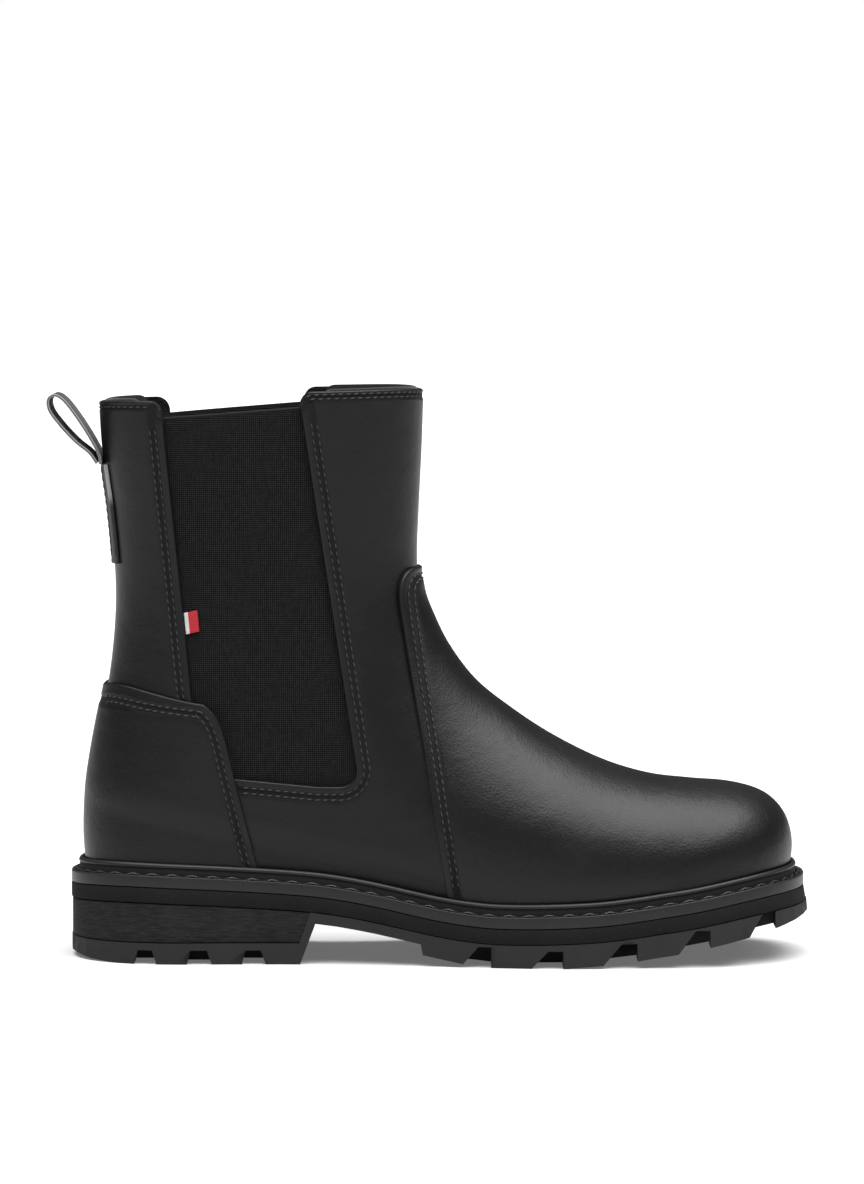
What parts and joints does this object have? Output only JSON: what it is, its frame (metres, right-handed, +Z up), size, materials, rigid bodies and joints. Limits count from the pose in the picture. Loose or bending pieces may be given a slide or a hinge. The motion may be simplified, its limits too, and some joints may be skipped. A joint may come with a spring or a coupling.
{
  "type": "chelsea boot",
  "caption": "Right ankle boot with elastic side gores, rear pull loop, stitched storm welt and cleated sole wrapping a separate heel block.",
  "frame": {"origin": "centre of the bounding box at ground level", "axes": "+X towards the toe, +Z up, so -Y is the outer side of this right boot"},
  "size_m": [0.3066, 0.1056, 0.2296],
  "materials": {
    "black_leather": "smooth, matte, fine grain",
    "strap": "smooth strap with pale raw edges",
    "elastic": "woven elastic, fine ribs",
    "stiffener": "bonded non-woven",
    "leatherboard": "pressed leatherboard",
    "lining": "brushed textile",
    "footbed_felt": "felted textile over foam",
    "red_tape": "woven tape",
    "welt_rubber": "satin lip, grey buffed edge",
    "welt_thread": "waxed thread",
    "midsole_rubber": "matte",
    "heel_rubber": "matte, fine horizontal grain",
    "tread_rubber": "matte moulded",
    "cork": "pressed cork",
    "spring_steel": "mill finish"
  },
  "bodies": {
    "foot": {"vamp": "black_leather", "toe_puff": "stiffener", "vamp_interlining": "stiffener", "vamp_lining": "lining", "front_panel": "black_leather", "front_lining": "lining", "heel_foxing": "black_leather", "heel_counter": "leatherboard", "heel_lining": "lining", "gore_outer_side": "elastic", "gore_inner_side": "elastic", "welt": "welt_rubber", "welt_thread": "welt_thread", "midsole": "midsole_rubber", "heel_block": "heel_rubber", "outsole": "tread_rubber", "filler": "cork", "shank": "spring_steel", "insole_board": "leatherboard", "footbed": "footbed_felt"},
    "back_shaft": {"back_panel": "black_leather", "back_lining": "lining", "pull_tab_tail": "strap", "side_label": "red_tape"},
    "pull_loop": {"pull_tab_loop": "strap"}
  },
  "joints": [
    {"name": "shaft_open", "type": "hinge", "parent": "foot", "child": "back_shaft", "pos_m": [-0.12999, -0.00133, 0.1102], "axis": [0, -1, 0], "range_deg": [0, 8], "stiffness_Nm_per_rad": 10, "springref_deg": -1.15, "deforming": ["gore_outer_side", "gore_inner_side"]},
    {"name": "pull_loop_swing", "type": "hinge", "parent": "back_shaft", "child": "pull_loop", "pos_m": [-0.13244, -0.00133, 0.1987], "axis": [0, -1, 0], "range_deg": [0, 35], "stiffness_Nm_per_rad": 0.02, "springref_deg": -5.73}
  ]
}
